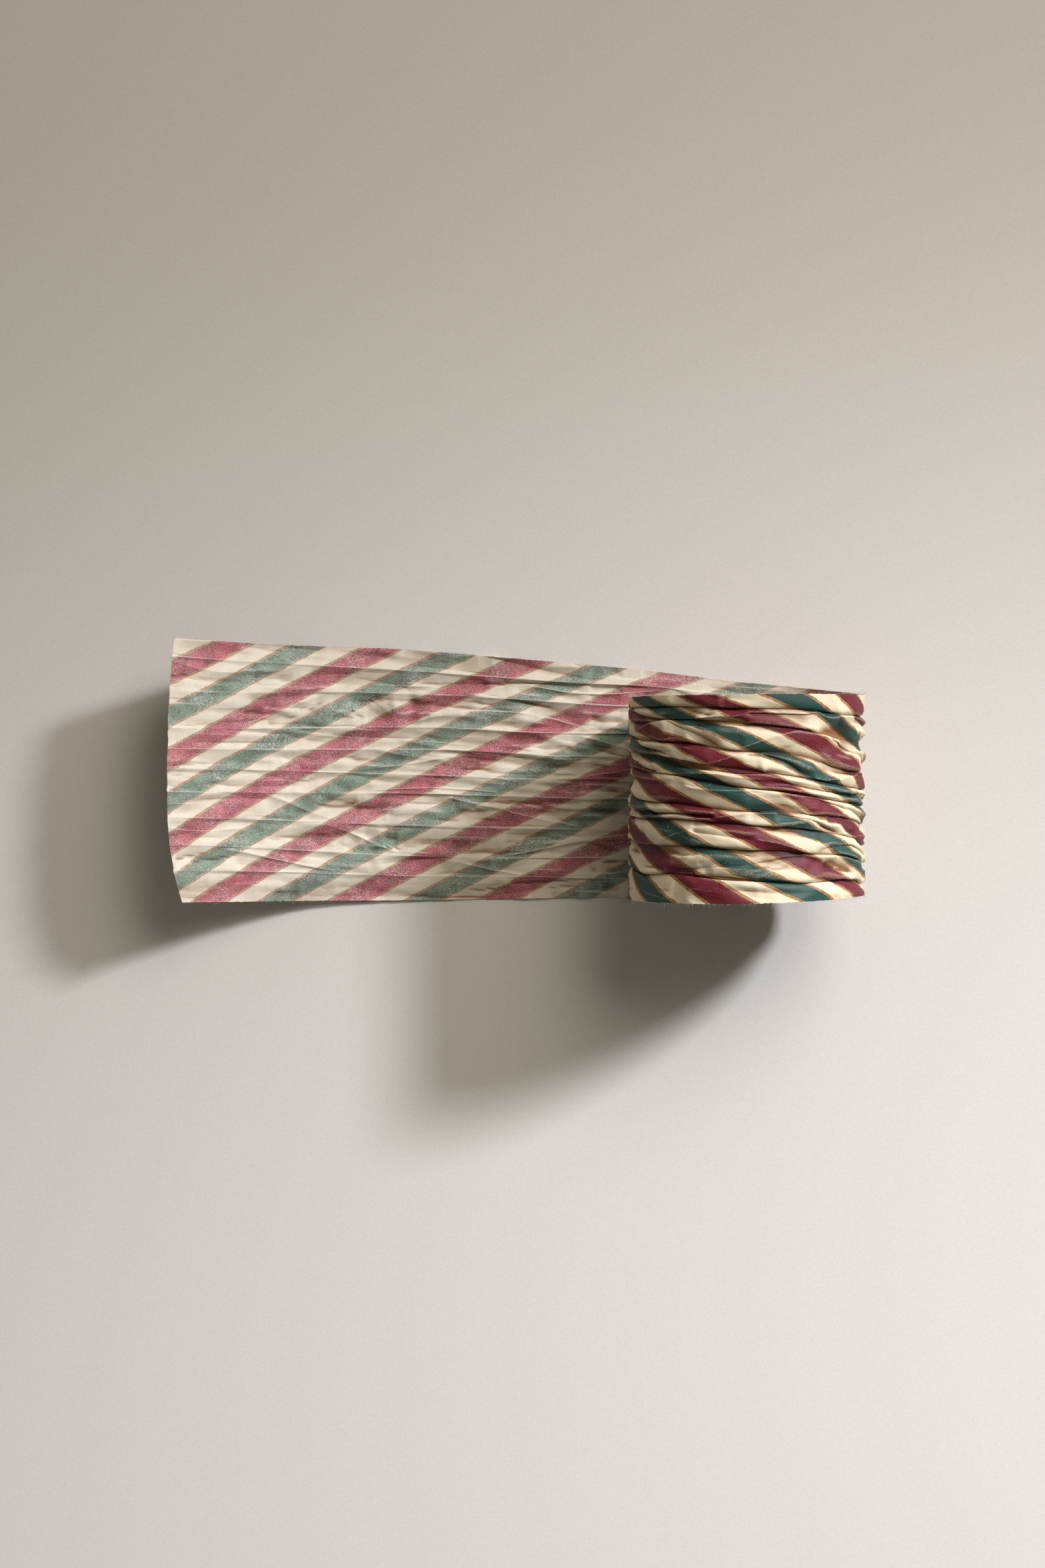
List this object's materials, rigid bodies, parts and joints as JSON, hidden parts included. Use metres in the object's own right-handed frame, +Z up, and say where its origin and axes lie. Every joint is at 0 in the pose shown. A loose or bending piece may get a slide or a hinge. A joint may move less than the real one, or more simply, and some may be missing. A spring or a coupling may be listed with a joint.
{
  "type": "wrapping paper roll",
  "caption": "Roll of crinkled gift-wrapping ribbon on a cardboard tube, lying on its side with a loose tail of ribbon curling up from the table.",
  "frame": {"origin": "centre of the cardboard tube's bore, half way along it", "axes": "+Y along the tube, +Z up from the table, the ribbon's loose tail towards -X"},
  "size_m": [0.2484, 0.0955, 0.0866],
  "materials": {
    "core_liner": "smooth kraft liner board",
    "core_board": "grey-brown core board",
    "tape": "double-sided tissue tape",
    "ribbon_print": "cream fibrous paper printed with burgundy and green slanted stripes edged in ochre, deeply creased",
    "ribbon_back": "unprinted side with the stripes showing through faintly, light crinkles, soft sheen"
  },
  "bodies": {
    "ribbon": {"outer_turn": "ribbon_print", "ribbon_run": "ribbon_back"},
    "coil": {"core_inner_ply": "core_liner", "core_middle_ply": "core_board", "core_outer_ply": "core_board", "start_tape": "tape", "wound_ribbon": "ribbon_print"},
    "tail_middle": {"tail_middle": "ribbon_back"},
    "tail_end": {"tail_end": "ribbon_back"}
  },
  "joints": [
    {"name": "roll_spin", "type": "hinge", "parent": "ribbon", "child": "coil", "pos_m": [0, 0, 0], "axis": [0, 1, 0], "continuous": true},
    {"name": "tail_lift", "type": "hinge", "parent": "ribbon", "child": "tail_middle", "pos_m": [-0.0925, 0, -0.0431], "axis": [0, 1, 0], "range_deg": [0, 50], "stiffness_Nm_per_rad": 0.01},
    {"name": "tail_curl", "type": "hinge", "parent": "tail_middle", "child": "tail_end", "pos_m": [-0.16419, 0, -0.03698], "axis": [0, 1, 0], "range_deg": [-30, 45], "stiffness_Nm_per_rad": 0.01}
  ]
}
